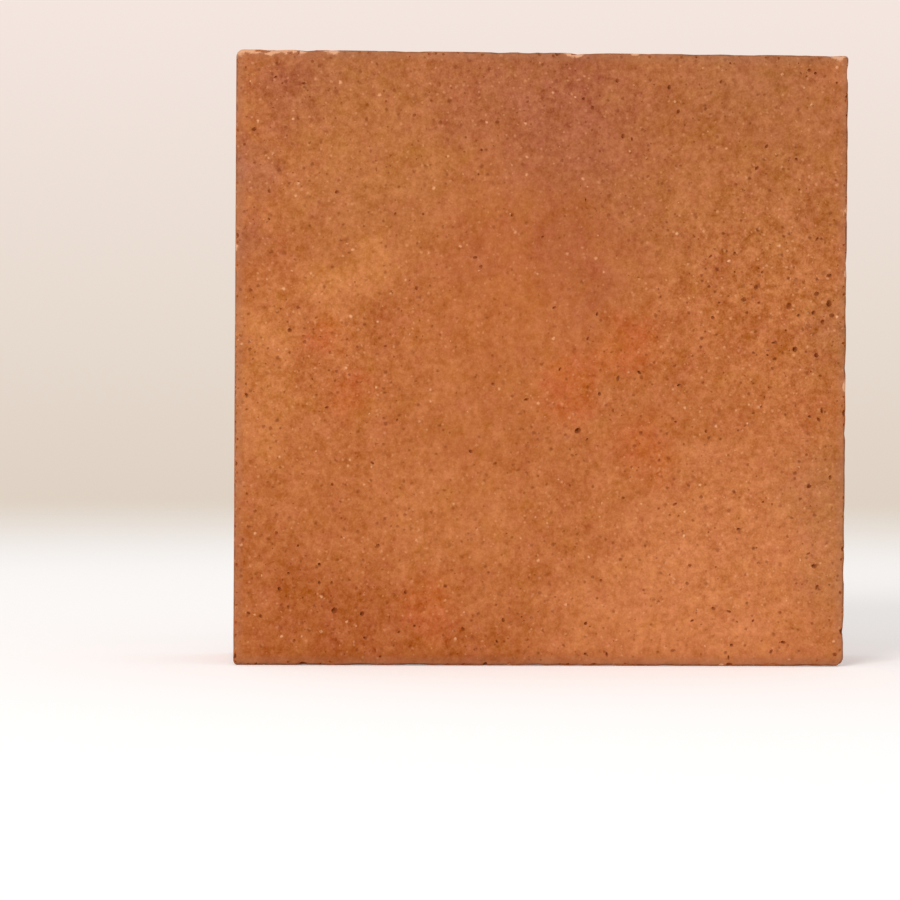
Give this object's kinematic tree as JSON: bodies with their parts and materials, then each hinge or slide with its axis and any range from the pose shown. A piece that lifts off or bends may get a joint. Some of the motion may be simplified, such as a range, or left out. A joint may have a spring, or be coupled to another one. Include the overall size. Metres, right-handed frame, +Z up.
{
  "type": "square clay brick",
  "caption": "Solid square brick of fired terracotta clay with softly rounded arrises and small chips, standing on one narrow side; laid in mortar as a paver, facing or walling unit.",
  "frame": {"origin": "on the surface that the brick stands on, under the middle of the brick", "axes": "+Z up; the large face that shows looks along -Y; X runs along that face from left to right"},
  "size_m": [0.2, 0.053, 0.2],
  "materials": {
    "fired_clay": "matte"
  },
  "bodies": {
    "root": {"brick": "fired_clay"}
  },
  "joints": []
}
